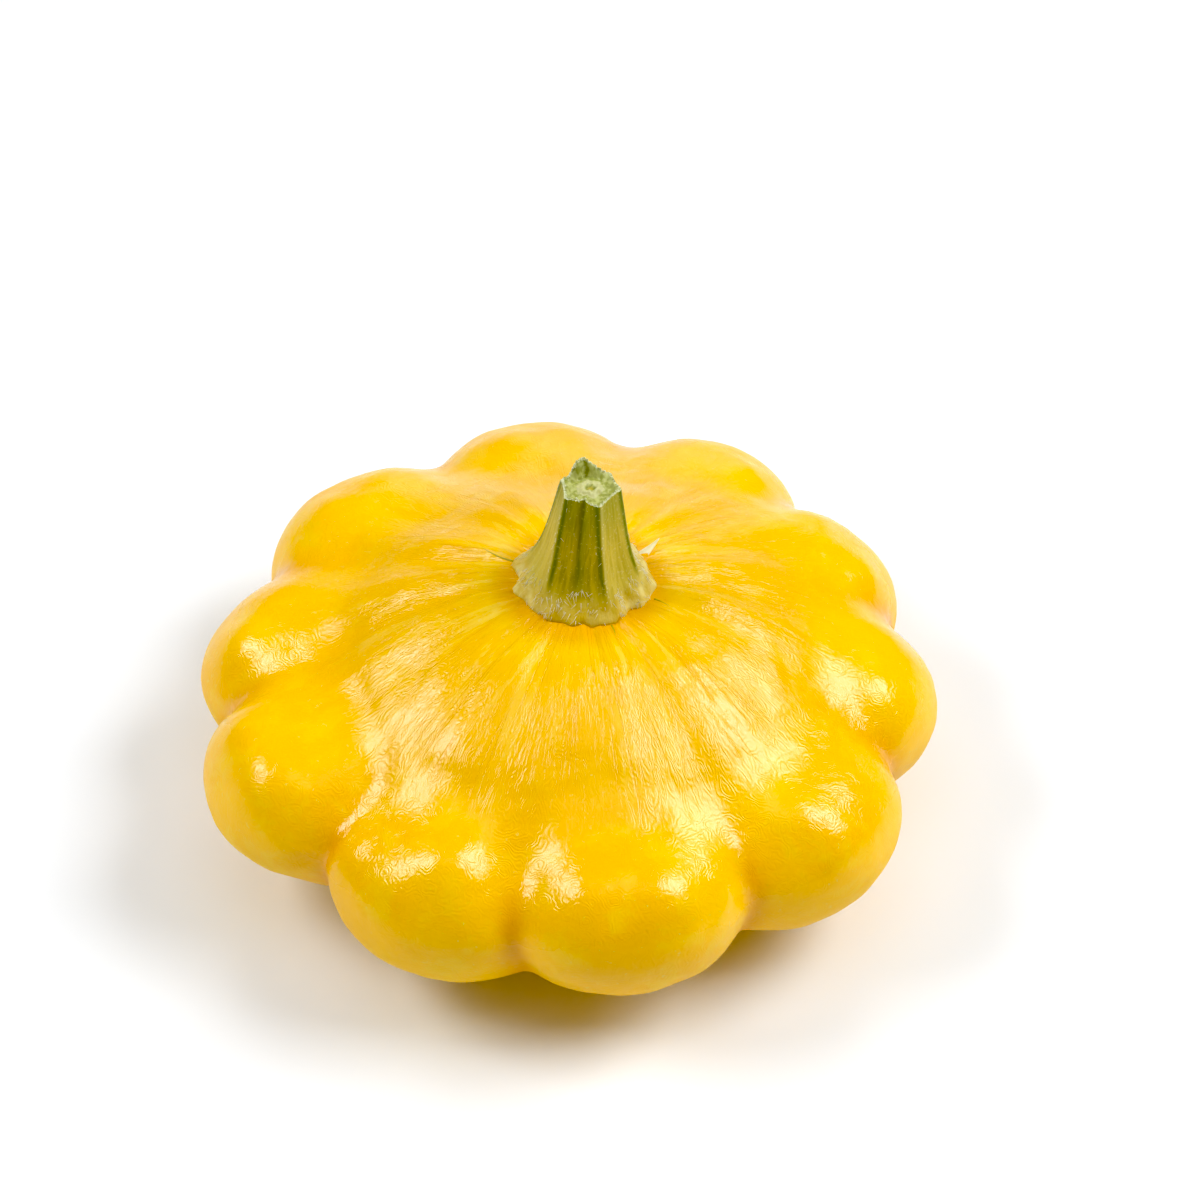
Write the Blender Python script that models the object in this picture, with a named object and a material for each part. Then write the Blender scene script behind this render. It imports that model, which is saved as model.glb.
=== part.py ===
"""Pattypan squash as picked: one scalloped fruit with its cut stem, resting on its blossom end.

Metres, +Z up. The origin is the middle of the flat blossom scar that the fruit rests on.
The fruit is a low crown joined to a ring of rounded lobes, and the stem flares onto it.
Run it with: blender --background --python part.py
"""

import math

import bmesh
import bpy
import numpy as np

MM = 0.001

# The ring of lobes. Azimuth in degrees, anticlockwise from +X seen from above, then each lobe's
# reach from the fruit's axis and how much higher than LOBE_HEIGHT it sits, in millimetres.
LOBES = (
    (-118, 56.5, -1.0),
    (-80, 57.0, 1.0),
    (-37, 57.5, -1.0),
    (-1, 58.0, 0.0),
    (30, 58.0, 0.5),
    (63, 62.0, 0.5),
    (97, 63.5, -0.5),
    (134, 62.5, 0.0),
    (170, 60.5, -0.5),
    (202, 60.5, 1.0),
)
LOBE_HEIGHT = 20.5 * MM  # of the middle of a lobe above the surface the fruit stands on
LOBE_DEPTH = 15.8 * MM  # half of a lobe, measured along its radius
LOBE_THICKNESS = 12.2 * MM  # half of a lobe, measured upwards
LOBE_SPREAD = 1.16  # a lobe's width as a share of its place in the ring, so that neighbours overlap
CREASE_ROUNDING = 1.8 * MM  # where two lobes meet, under the rim
UPPER_ROUNDING = 5.0 * MM  # the same on the shoulders, where the creases fade out
SHOULDER = (-4.0 * MM, 8.0 * MM)  # from LOBE_HEIGHT to the heights where that change starts and ends

# The crown, the body of the fruit inside the ring.
CROWN_RADIUS = 48.0 * MM
CROWN_TOP = 48.0 * MM
CROWN_BOTTOM = -0.6 * MM  # cut off at the scar, which makes the flat to rest on
CROWN_MIDDLE = 16.5 * MM
CROWN_ROUNDNESS = 1.9  # 2 is an ellipse, and less is more like a cone
CROWN_LEAN = (1.6 * MM, 1.0 * MM)  # the stem end, off the blossom end's axis
CROWN_ROUNDING = 6.0 * MM  # where the lobes grow out of the crown
BACK_ROUNDING = 13.0 * MM  # the same on the +Y side, where the lobes reach out further
TO_BACK = (-10.0 * MM, 30.0 * MM)  # the stretch of Y over which that change takes place
CROWN_BLEND = 12.0 * MM  # how far the crown's upper and lower halves run into each other
DIMPLE_DEPTH = 1.6 * MM
DIMPLE_RADIUS = 12.0 * MM

# The stem.
STEM_LENGTH = 19.3 * MM  # to the cut
SHARD_RISE = 2.2 * MM  # how far one side of the cut tore off above the rest
SHARD_AZIMUTH, SHARD_WIDTH = 116, 32  # degrees
STEM_TOP_RADIUS = 4.4 * MM
STEM_TAPER = 3.9 * MM  # how much wider the shaft is at its foot
COLLAR_FLARE = 3.2 * MM  # how much further the collar spreads on the skin
STEM_LEAN = (1.2 * MM, 0.2 * MM)  # how far the cut end stands off the base
STEM_RIBS = (-74, -8, 44, 104, 160, 214)  # azimuths in degrees
RIB_REACH = 32  # degrees from a rib to the bottom of the groove beside it
RIB_SHARE = 0.14  # how far a rib stands out, as a share of the radius there
GAP = 0.3 * MM  # between the stem's base and the skin under it

FRUIT_MERIDIANS = 90
FRUIT_PARALLELS = 38
STEM_SIDES = 48
STEM_STEPS = 14
SEARCH_STEPS = 30  # halvings that find the skin along a line from the heart

SKIN_YELLOW = (0.96, 0.62, 0.03, 1.0)
STEM_GREEN = (0.32, 0.42, 0.10, 1.0)


def material(name, colour, roughness):
    made = bpy.data.materials.new(name)
    made.use_nodes = True
    made.diffuse_color = colour
    shader = made.node_tree.nodes["Principled BSDF"]
    shader.inputs["Base Color"].default_value = colour
    shader.inputs["Roughness"].default_value = roughness
    shader.inputs["Metallic"].default_value = 0.0
    return made


def joined(a, b, rounding):
    """The smaller of two distances, with the join between the two shapes rounded."""
    near = np.clip(rounding - np.abs(a - b), 0, None) / rounding
    return np.minimum(a, b) - near * near * rounding / 4


def faded(values, start, end):
    """0 up to start and 1 from end on, with a smooth change between them."""
    share = np.clip((values - start) / (end - start), 0, 1)
    return share * share * (3 - 2 * share)


def lobe_distance(points, index):
    """How far points lie outside one lobe, an ellipsoid that fills its place in the ring."""
    azimuths = [math.radians(azimuth) for azimuth, _, _ in LOBES]
    _, reach, rise = LOBES[index]
    here = azimuths[index]
    place = (azimuths[(index + 1) % len(LOBES)] - azimuths[index - 1]) % math.tau / 2
    middle = reach * MM - LOBE_DEPTH
    half_width = LOBE_SPREAD * place / 2 * (middle + 2 * MM)
    along = points[:, 0] * math.cos(here) + points[:, 1] * math.sin(here) - middle
    across = points[:, 1] * math.cos(here) - points[:, 0] * math.sin(here)
    upward = points[:, 2] - LOBE_HEIGHT - rise * MM
    local = np.stack([along, across, upward], axis=1)
    half = np.array([LOBE_DEPTH, half_width, LOBE_THICKNESS])
    share = np.linalg.norm(local / half, axis=1)
    return share * (share - 1) / np.linalg.norm(local / half**2, axis=1)


def crown_distance(points):
    above = points[:, 2] - CROWN_MIDDLE
    rise = CROWN_TOP - CROWN_MIDDLE
    lean = np.clip(above / rise, 0, 1)
    radius = np.hypot(points[:, 0] - CROWN_LEAN[0] * lean, points[:, 1] - CROWN_LEAN[1] * lean)
    drop = CROWN_MIDDLE - CROWN_BOTTOM
    half = np.where(above > 0, rise, drop)
    share = (radius / CROWN_RADIUS) ** CROWN_ROUNDNESS + (np.abs(above) / half) ** CROWN_ROUNDNESS
    return (share ** (1 / CROWN_ROUNDNESS) - 1) * (
        drop + (rise - drop) * faded(above, -CROWN_BLEND, CROWN_BLEND)
    )


def skin_distance(points):
    """How far points lie outside the fruit: lobes creased against each other, grown out of the crown."""
    lobes = np.sort([lobe_distance(points, i) for i in range(len(LOBES))], axis=0)
    on_shoulder = faded(points[:, 2] - LOBE_HEIGHT, *SHOULDER)
    ring = joined(lobes[0], lobes[1], CREASE_ROUNDING + (UPPER_ROUNDING - CREASE_ROUNDING) * on_shoulder)
    at_back = faded(points[:, 1], *TO_BACK)
    return joined(
        ring, crown_distance(points), CROWN_ROUNDING + (BACK_ROUNDING - CROWN_ROUNDING) * at_back
    )


def skin_points(directions):
    """Where lines from the heart of the fruit come out of its skin."""
    heart = np.array([0, 0, CROWN_MIDDLE])
    inside = np.full(len(directions), 0.0)
    outside = np.full(len(directions), 2 * CROWN_RADIUS)
    for _ in range(SEARCH_STEPS):
        middle = (inside + outside) / 2
        within = skin_distance(heart + directions * middle[:, None]) < 0
        inside = np.where(within, middle, inside)
        outside = np.where(within, outside, middle)
    found = heart + directions * inside[:, None]
    return dimpled(found)


def dimpled(points):
    """The stem end sinks a little round the stem, and the blossom scar is flat."""
    away = np.hypot(points[:, 0] - CROWN_LEAN[0], points[:, 1] - CROWN_LEAN[1])
    sunk = DIMPLE_DEPTH * np.exp(-((away / DIMPLE_RADIUS) ** 2))
    points[:, 2] -= np.where(points[:, 2] > CROWN_MIDDLE, sunk, 0)
    points[:, 2] = np.clip(points[:, 2], 0, None)
    return points


def skin_height(x, y):
    """The height of the upper skin over points near the stem."""
    low, high = np.full(len(x), CROWN_MIDDLE), np.full(len(x), CROWN_TOP + 5 * MM)
    for _ in range(SEARCH_STEPS):
        middle = (low + high) / 2
        within = skin_distance(np.stack([x, y, middle], axis=1)) < 0
        low, high = np.where(within, middle, low), np.where(within, high, middle)
    return dimpled(np.stack([x, y, low], axis=1))[:, 2]


def vertex_array(mesh):
    points = np.empty(len(mesh.vertices) * 3)
    mesh.vertices.foreach_get("co", points)
    return points.reshape(-1, 3)


def make_fruit():
    bpy.ops.mesh.primitive_uv_sphere_add(
        segments=FRUIT_MERIDIANS, ring_count=FRUIT_PARALLELS, radius=1
    )
    fruit = bpy.context.object
    fruit.name = fruit.data.name = "fruit"
    directions = vertex_array(fruit.data)
    directions /= np.linalg.norm(directions, axis=1)[:, None]
    fruit.data.vertices.foreach_set("co", skin_points(directions).ravel())
    fruit.data.shade_smooth()
    fruit.data.materials.append(material("squash_skin", SKIN_YELLOW, 0.32))
    return fruit


def rib_profile(azimuth):
    """1 on the nearest rib and 0 half way to the next, for an array of azimuths in radians."""
    ribs = np.radians(STEM_RIBS)
    away = np.abs((azimuth[:, None] - ribs[None, :] + math.pi) % math.tau - math.pi)
    return np.clip(1 - away.min(axis=1) / math.radians(RIB_REACH), 0, 1)


def stem_radius(share):
    """The stem's mean radius at a share of its length: a tapering shaft on a collar that flares out."""
    down = 1 - share
    return STEM_TOP_RADIUS + STEM_TAPER * down + COLLAR_FLARE * down**7


def shard(azimuth):
    """1 at the middle of the shard that stands on the cut, falling to 0 on either side of it."""
    away = (azimuth - math.radians(SHARD_AZIMUTH) + math.pi) % math.tau - math.pi
    return np.exp(-((away / math.radians(SHARD_WIDTH)) ** 2))


def make_stem():
    """A cylinder of stacked rings, shaped by height: flared, ribbed, leaning and torn off at the top."""
    bpy.ops.mesh.primitive_cylinder_add(vertices=STEM_SIDES, radius=1, depth=1, end_fill_type="TRIFAN")
    stem = bpy.context.object
    stem.name = stem.data.name = "stem"
    shape = bmesh.new()
    shape.from_mesh(stem.data)
    upright = [e for e in shape.edges if abs(e.verts[0].co.z - e.verts[1].co.z) > 0.5]
    bmesh.ops.subdivide_edges(shape, edges=upright, cuts=STEM_STEPS - 1, use_grid_fill=True)
    shape.to_mesh(stem.data)
    shape.free()

    points = vertex_array(stem.data)
    share = points[:, 2] + 0.5
    azimuth = np.arctan2(points[:, 1], points[:, 0])
    ribbed = 1 + RIB_SHARE * (rib_profile(azimuth) - 0.5)
    outward = np.hypot(points[:, 0], points[:, 1])
    radius = outward * stem_radius(share) * ribbed
    x = CROWN_LEAN[0] + STEM_LEAN[0] * share + radius * np.cos(azimuth)
    y = CROWN_LEAN[1] + STEM_LEAN[1] * share + radius * np.sin(azimuth)
    foot = skin_height(x, y) + GAP
    cut = CROWN_TOP - DIMPLE_DEPTH + STEM_LENGTH + SHARD_RISE * outward * shard(azimuth)
    z = foot + (cut - foot) * share
    stem.data.vertices.foreach_set("co", np.stack([x, y, z], axis=1).ravel())
    stem.data.shade_smooth()
    stem.data.set_sharp_from_angle(angle=math.radians(40))
    stem.data.materials.append(material("stem_green", STEM_GREEN, 0.5))
    return stem


def main():
    for old in list(bpy.data.objects):
        bpy.data.objects.remove(old, do_unlink=True)
    squash = bpy.data.collections.new("pattypan_squash")
    bpy.context.scene.collection.children.link(squash)
    for part in (make_fruit(), make_stem()):
        for holder in list(part.users_collection):
            holder.objects.unlink(part)
        squash.objects.link(part)


main()
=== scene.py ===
# %% [markdown]
# # A pattypan squash
#
# A pattypan is a summer squash shaped like a scalloped dish: a low crown, a ring of knobbly lobes
# round it, and a short ribbed stem that was cut when it was picked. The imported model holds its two
# solids, the fruit and the stem, at their real size. This script keeps those as the frame and makes
# the surfaces that are seen: the skin with its pleats, creases and wax, the fibrous stem with its
# torn cut end, and the small things where the two meet.

# %% Load the frame
import math

import bmesh
import bpy
import numpy as np
from mathutils import Matrix, Vector
from mathutils.bvhtree import BVHTree


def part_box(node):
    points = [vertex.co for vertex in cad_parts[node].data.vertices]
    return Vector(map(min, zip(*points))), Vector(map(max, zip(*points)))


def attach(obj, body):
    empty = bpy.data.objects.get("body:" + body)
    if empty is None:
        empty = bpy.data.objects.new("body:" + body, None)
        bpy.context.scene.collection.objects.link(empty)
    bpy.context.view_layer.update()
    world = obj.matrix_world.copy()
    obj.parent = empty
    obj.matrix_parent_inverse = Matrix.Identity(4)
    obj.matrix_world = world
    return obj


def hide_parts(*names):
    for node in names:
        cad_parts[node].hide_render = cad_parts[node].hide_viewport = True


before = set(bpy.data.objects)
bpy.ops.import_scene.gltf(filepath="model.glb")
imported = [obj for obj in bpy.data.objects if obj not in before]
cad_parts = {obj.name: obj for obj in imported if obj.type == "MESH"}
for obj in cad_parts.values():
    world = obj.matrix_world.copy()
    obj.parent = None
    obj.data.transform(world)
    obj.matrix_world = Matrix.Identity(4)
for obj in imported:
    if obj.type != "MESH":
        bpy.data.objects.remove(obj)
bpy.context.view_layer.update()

MM = 0.001
_, stem_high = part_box("stem")

# %% [markdown]
# ## Smooth fields to sculpt with
#
# Skin that grew is never quite smooth, but it isn't noisy either: each kind of unevenness has a size
# of its own. So the sculpting below adds fields that have one wavelength. `ripples` is a sum of plane
# waves in random directions, uneven in all three dimensions. `flutes` runs round the stem, as the
# sections of a squash do. Every draw is seeded, so the shape is the same each time.


# %% Fields over points
def ripples(points, wavelength, seed, waves=24):
    """A smooth uneven field over space, about 1 high, whose bumps are half a wavelength across."""
    draw = np.random.default_rng(seed)
    directions = draw.normal(size=(waves, 3))
    directions /= np.linalg.norm(directions, axis=1)[:, None]
    lengths = wavelength * draw.uniform(0.75, 1.35, waves)
    phases = draw.uniform(0, math.tau, waves)
    swings = points @ (math.tau * directions / lengths[:, None]).T + phases
    return np.cos(swings).sum(axis=1) * math.sqrt(2 / waves)


def flutes(azimuth, fewest, most, seed):
    """A smooth uneven field round an axis, about 1 high, with from fewest to most waves to the turn."""
    draw = np.random.default_rng(seed)
    counts = np.arange(fewest, most + 1)
    heights = draw.uniform(0.5, 1.0, len(counts))
    phases = draw.uniform(0, math.tau, len(counts))
    waves = heights[:, None] * np.cos(counts[:, None] * azimuth[None, :] + phases[:, None])
    return waves.sum(axis=0) * math.sqrt(2 / (heights**2).sum())


def ramp(values, start, end):
    """0 at start and 1 at end, with a soft foot and shoulder. Start may be the higher one."""
    share = np.clip((values - start) / (end - start), 0, 1)
    return share * share * (3 - 2 * share)


def bell(values, width):
    """1 where the values are 0, falling off on both sides, to a third at the width."""
    return np.exp(-((values / width) ** 2))


def turn_between(azimuth, other):
    """The angle from one direction to another, the short way round."""
    return (azimuth - other + math.pi) % math.tau - math.pi


def coordinates(vertices):
    return np.array([vertex.co for vertex in vertices])


def place(vertices, points):
    for vertex, point in zip(vertices, points):
        vertex.co = point


print("fields ready, for example", np.round(flutes(np.linspace(0, 1, 4), 8, 16, 3), 2))

# %% [markdown]
# ## The form of the fruit
#
# The fruit could be a turned profile with a scalloped rim, but real lobes aren't a wave round a rim.
# Each one is a knob of its own size that presses against its neighbours, with a crisp fold between,
# and that melts into the crown on its inner side. So the form is described by distances: a point's
# distance outside each ellipsoid lobe, and outside the crown. Taking the smaller of two distances
# joins two shapes, and rounding that minimum by a little or a lot gives a crisp fold or a soft saddle.

# %% The lobes and the crown
LOBES = (  # azimuth in degrees, reach from the axis and rise over LOBE_HEIGHT in millimetres
    (-118, 56.5, -1.0),
    (-80, 57.0, 1.0),
    (-37, 57.5, -1.0),
    (-1, 58.0, 0.0),
    (30, 58.0, 0.5),
    (63, 62.0, 0.5),
    (97, 63.5, -0.5),
    (134, 62.5, 0.0),
    (170, 60.5, -0.5),
    (202, 60.5, 1.0),
)
LOBE_HEIGHT = 20.5 * MM
LOBE_DEPTH = 15.8 * MM  # half of a lobe, measured along its radius
LOBE_THICKNESS = 12.2 * MM  # half of a lobe, measured upwards
LOBE_SPREAD = 1.16
CREASE_ROUNDING = 1.6 * MM
UPPER_ROUNDING = 5.0 * MM
SHOULDER = (-4.0 * MM, 8.0 * MM)

CROWN_RADIUS = 48.0 * MM
CROWN_TOP = 48.0 * MM
CROWN_BOTTOM = -0.6 * MM
CROWN_MIDDLE = 16.5 * MM
CROWN_ROUNDNESS = 1.9
CROWN_ROUNDING = 6.0 * MM
BACK_ROUNDING = 13.0 * MM
TO_BACK = (-10.0 * MM, 30.0 * MM)
CROWN_BLEND = 12.0 * MM  # either side of the middle, where the upper and lower halves change over
STEM_FOOT = np.array([1.6, 1.0]) * MM  # where the stem stands, off the axis of the lobes
DIMPLE_DEPTH = 1.6 * MM
DIMPLE_RADIUS = 12.0 * MM

LOBE_AZIMUTHS = np.radians([lobe[0] for lobe in LOBES])
CREASE_AZIMUTHS = LOBE_AZIMUTHS + np.mod(np.roll(LOBE_AZIMUTHS, -1) - LOBE_AZIMUTHS, math.tau) / 2


def joined(a, b, rounding):
    near = np.clip(rounding - np.abs(a - b), 0, None) / rounding
    return np.minimum(a, b) - near * near * rounding / 4


def lobe_distance(points, index):
    here = LOBE_AZIMUTHS[index]
    ahead, behind = LOBE_AZIMUTHS[(index + 1) % len(LOBES)], LOBE_AZIMUTHS[index - 1]
    _, reach, rise = LOBES[index]
    middle = reach * MM - LOBE_DEPTH
    half_width = LOBE_SPREAD * ((ahead - behind) % math.tau) / 4 * (middle + 2 * MM)
    along = points[:, 0] * math.cos(here) + points[:, 1] * math.sin(here) - middle
    across = points[:, 1] * math.cos(here) - points[:, 0] * math.sin(here)
    local = np.stack([along, across, points[:, 2] - LOBE_HEIGHT - rise * MM], axis=1)
    half = np.array([LOBE_DEPTH, half_width, LOBE_THICKNESS])
    share = np.linalg.norm(local / half, axis=1)
    return share * (share - 1) / np.linalg.norm(local / half**2, axis=1)


def lean(heights):
    """How far the axis has shifted towards the stem's foot at these heights."""
    return np.clip((heights - CROWN_MIDDLE) / (CROWN_TOP - CROWN_MIDDLE), 0, 1)[:, None] * STEM_FOOT


def crown_distance(points):
    above = points[:, 2] - CROWN_MIDDLE
    radius = np.linalg.norm(points[:, :2] - lean(points[:, 2]), axis=1)
    upper, lower = CROWN_TOP - CROWN_MIDDLE, CROWN_MIDDLE - CROWN_BOTTOM
    half = np.where(above > 0, upper, lower)
    share = (radius / CROWN_RADIUS) ** CROWN_ROUNDNESS + (np.abs(above) / half) ** CROWN_ROUNDNESS
    scale = lower + (upper - lower) * ramp(above, -CROWN_BLEND, CROWN_BLEND)
    return (share ** (1 / CROWN_ROUNDNESS) - 1) * scale


def nearest_lobes(points):
    """Distances outside the nearest lobe and the next one."""
    return np.sort([lobe_distance(points, i) for i in range(len(LOBES))], axis=0)[:2]


def skin_distance(points):
    first, second = nearest_lobes(points)
    on_shoulder = ramp(points[:, 2] - LOBE_HEIGHT, *SHOULDER)
    ring = joined(first, second, CREASE_ROUNDING + (UPPER_ROUNDING - CREASE_ROUNDING) * on_shoulder)
    at_back = ramp(points[:, 1], *TO_BACK)
    filled = CROWN_ROUNDING + (BACK_ROUNDING - CROWN_ROUNDING) * at_back
    return joined(ring, crown_distance(points), filled)


print(len(LOBES), "lobes, creased at", np.round(np.degrees(CREASE_AZIMUTHS)))

# %% [markdown]
# ## A sphere pushed out to the skin
#
# The mesh starts as a UV sphere, because its meridians run from the stem to the blossom end just as
# the growth of the fruit does, so pleats and streaks can follow them. Each vertex slides along its
# own line from the heart of the fruit until it meets the skin. The search halves the remaining
# stretch of that line again and again. Rows are first crowded towards the equator, where the lobes
# bend most.

# %% Push the sphere out
MERIDIANS = 400
PARALLELS = 240
ROW_CROWDING = 0.45
HALVINGS = 26
HEART = np.array([0, 0, CROWN_MIDDLE])


def crowded(directions):
    """Directions with more of their rows near the equator."""
    azimuth = np.arctan2(directions[:, 1], directions[:, 0])
    polar = np.arccos(np.clip(directions[:, 2], -1, 1))
    polar = polar + ROW_CROWDING / 2 * np.sin(2 * polar)
    level = np.sin(polar)
    return np.stack([level * np.cos(azimuth), level * np.sin(azimuth), np.cos(polar)], axis=1), azimuth


def leaned(points):
    moved = points.copy()
    moved[:, :2] += lean(points[:, 2])
    return moved


def on_skin(directions):
    inside = np.zeros(len(directions))
    outside = np.full(len(directions), 2 * CROWN_RADIUS)
    for _ in range(HALVINGS):
        middle = (inside + outside) / 2
        within = skin_distance(leaned(HEART + directions * middle[:, None])) < 0
        inside = np.where(within, middle, inside)
        outside = np.where(within, outside, middle)
    return leaned(HEART + directions * inside[:, None])


def from_stem(points):
    return np.linalg.norm(points[:, :2] - STEM_FOOT, axis=1)


def dimpled(points):
    sunk = DIMPLE_DEPTH * bell(from_stem(points), DIMPLE_RADIUS)
    points[:, 2] -= np.where(points[:, 2] > CROWN_MIDDLE, sunk, 0)
    return points


fruit_shape = bmesh.new()
bmesh.ops.create_uvsphere(fruit_shape, u_segments=MERIDIANS, v_segments=PARALLELS, radius=1)
directions, meridian = crowded(coordinates(fruit_shape.verts))
smooth_skin = dimpled(on_skin(directions))
place(fruit_shape.verts, smooth_skin)
fruit_shape.normal_update()
outward = np.array([vertex.normal for vertex in fruit_shape.verts])
print("fruit", len(fruit_shape.verts), "vertices, width", np.round(np.ptp(smooth_skin, axis=0) / MM, 1), "mm")

# %% [markdown]
# ## Pleats, creases and knuckles
#
# What makes it look grown is relief of a few tenths of a millimetre. Near the stem the skin is
# gathered in fine pleats, further out it has broad flutes, and a shallow valley runs up the crown
# from each crease. The lobes have low knuckles on top, and those at the front are squarer than an
# ellipsoid, so a soft ridge fills out their shoulders. All of it moves vertices along the normals, so
# it is real geometry, and only the finest wrinkles are left to the material.

# %% Carve the relief
KNUCKLES = (  # azimuth in degrees, then distance from the axis, height and half width in millimetres
    (-133.5, 50.5, 1.5, 4.0),
    (-113.5, 46.0, 1.9, 4.8),
    (-87, 50.0, 0.9, 4.4),
    (-75, 49.5, 1.0, 4.4),
    (-46, 47.0, 1.2, 4.2),
    (-42, 52.0, 0.7, 4.2),
    (-33, 48.0, 0.5, 3.8),
    (-9, 49.5, 0.8, 4.4),
    (5, 47.0, 0.5, 4.0),
    (21, 50.0, 0.6, 3.6),
    (28, 45.5, 0.5, 3.2),
    (36, 50.0, 0.5, 4.0),
    (54, 50.0, 0.6, 4.4),
    (68, 52.0, 0.6, 4.4),
    (90, 52.0, 0.6, 4.2),
    (103, 50.5, 0.6, 4.4),
    (127, 52.0, 0.5, 4.2),
    (140, 51.5, 0.7, 4.6),
    (176, 52.5, 0.8, 4.0),
    (165, 49.0, 0.5, 4.0),
    (-164, 51.0, 0.5, 4.4),
    (-152, 53.5, 0.8, 4.4),
)
VALLEY_WIDTH = math.radians(4.5)
RIDGE_REACH, RIDGE_WIDTH = 53.5 * MM, 6.0 * MM  # the shoulder ridge of the front lobes


def knuckles(points):
    """Low round bumps on the upper side of every lobe, in metres."""
    total = np.zeros(len(points))
    for azimuth, reach, height, half_width in KNUCKLES:
        turn = math.radians(azimuth)
        middle = reach * MM * np.array([math.cos(turn), math.sin(turn)])
        total += height * bell(np.linalg.norm(points[:, :2] - middle, axis=1), half_width * MM)
    return total * MM * ramp(points[:, 2], 10 * MM, 28 * MM)


def valleys(azimuth):
    """1 along every crease and 0 between them."""
    return sum(bell(turn_between(azimuth, crease), VALLEY_WIDTH) for crease in CREASE_AZIMUTHS)


def relief(points, azimuth):
    """How far the skin stands off its smooth form. The first number of each line is in millimetres."""
    away = from_stem(points)
    upper = ramp(points[:, 2], 16 * MM, 24 * MM)
    pleats = 0.10 * flutes(azimuth, 16, 34, 21) * ramp(away, 36 * MM, 15 * MM)
    broad = 0.22 * flutes(azimuth, 9, 19, 22) * ramp(away, 8 * MM, 20 * MM) * ramp(away, 50 * MM, 34 * MM)
    below = 0.15 * flutes(azimuth, 18, 34, 23) * ramp(away, 30 * MM, 14 * MM)
    fold = valleys(azimuth) * ramp(away, 28 * MM, 44 * MM)
    square = 0.9 * bell(away - RIDGE_REACH, RIDGE_WIDTH) * upper * ramp(points[:, 1], 0, -24 * MM)
    swell = 0.16 * ripples(points, 19 * MM, 31) + 0.06 * ripples(points, 8 * MM, 32)
    fine = 0.02 * ripples(points, 3.5 * MM, 33)
    height = upper * (pleats + broad) + (1 - upper) * below - 0.35 * fold + square + swell + fine
    return height * MM + knuckles(points)


skin = smooth_skin + outward * relief(smooth_skin, meridian)[:, None]
print("relief from", np.round(np.percentile(relief(smooth_skin, meridian) / MM, [0, 50, 100]), 2), "mm")

# %% [markdown]
# ## The blossom end
#
# Underneath, the flower has left a corky scar. It is a low ring that the fruit stands on, with a
# shallow dish inside it and a small nub where the style was. It is out of sight on a table, but
# anyone who turns the squash over looks for it first.

# %% Shape the blossom scar
SCAR_RADIUS = 11.0 * MM
SCAR_DISH = 0.8 * MM


def scar_height(points):
    away = np.linalg.norm(points[:, :2], axis=1)
    dish = SCAR_DISH * ramp(away, 8.5 * MM, 5.5 * MM)
    nub = 0.5 * MM * bell(away, 1.4 * MM)
    cork = 0.07 * MM * np.abs(ripples(points, 1.8 * MM, 41)) * ramp(away, 9 * MM, 7 * MM)
    return np.clip(dish - nub + cork, 0, None)


from_axis = np.linalg.norm(skin[:, :2], axis=1)
scarred = np.where(skin[:, 2] < 3 * MM, ramp(from_axis, SCAR_RADIUS + 1.5 * MM, SCAR_RADIUS - 1.5 * MM), 0)
skin[:, 2] = np.clip(skin[:, 2], 0, None) * (1 - scarred) + scar_height(skin) * scarred
place(fruit_shape.verts, skin)
fruit_shape.normal_update()
skin_tree = BVHTree.FromBMesh(fruit_shape)
print("scar:", int((scarred > 0.5).sum()), "vertices, lowest at", round(float(skin[:, 2].min()) / MM, 3))

# %% [markdown]
# ## What the skin knows about itself
#
# The colour follows the growth of the fruit, so the material needs to know where on the fruit a point
# is. Two attributes carry that. `grain` holds the meridian as a point on a circle and, as its third
# number, the angle down from the stem, so a pattern made from it streams away from the stem and has no
# seam. `crease` is high where little light gets in: in the folds between lobes and under the collar.
# The material paints orange shade there: painted shade in the folds and a painted shadow under the collar.


# %% Make the fruit's object
def finished(name, shape):
    """A shape as a smooth-shaded object in the scene, with its place in its mesh."""
    mesh = bpy.data.meshes.new(name)
    shape.to_mesh(mesh)
    shape.free()
    mesh.shade_smooth()
    made = bpy.data.objects.new(name, mesh)
    bpy.context.scene.collection.objects.link(made)
    print(name, sum(len(face.vertices) - 2 for face in mesh.polygons), "triangles")
    return made


def note(made, name, values):
    """Stores one number or one vector for each vertex, for the material to read."""
    kind, field = ("FLOAT_VECTOR", "vector") if values.ndim == 2 else ("FLOAT", "value")
    attribute = made.data.attributes.new(name, kind, "POINT")
    attribute.data.foreach_set(field, values.astype(np.float32).ravel())


# Painted shade: FOLD_WIDTH is how wide the orange painted shade lies in a fold between lobes, and
# COLLAR_SHADE is where the painted shadow round the foot of the collar starts and where it is full.
FOLD_WIDTH = 3.0 * MM
COLLAR_SHADE = (15.5 * MM, 11.0 * MM)  # distances from the stem's axis where it starts and is full

fruit = finished("fruit_skin", fruit_shape)
polar = np.arccos(np.clip(directions[:, 2], -1, 1))
first, second = nearest_lobes(smooth_skin)
folded = ramp(np.linalg.norm(smooth_skin[:, :2], axis=1), 30 * MM, 44 * MM)
note(fruit, "grain", np.stack([np.cos(meridian), np.sin(meridian), polar], axis=1))
collar_shadow = ramp(from_stem(smooth_skin), *COLLAR_SHADE)
note(fruit, "crease", np.maximum(bell(second - first, FOLD_WIDTH) * folded, 0.8 * collar_shadow))

# %% [markdown]
# ## The stem, turned and then carved
#
# The stem starts on the lathe: one profile, from under the foot, round the edge of the collar, up the
# shaft and across the cut end into the pith, spun once round. Carving then moves every vertex by its
# azimuth and height. Six ribs run up it with flat sides between them, each with its own reach and
# twist, and the collar swells into lumps that rest on the skin.

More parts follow.
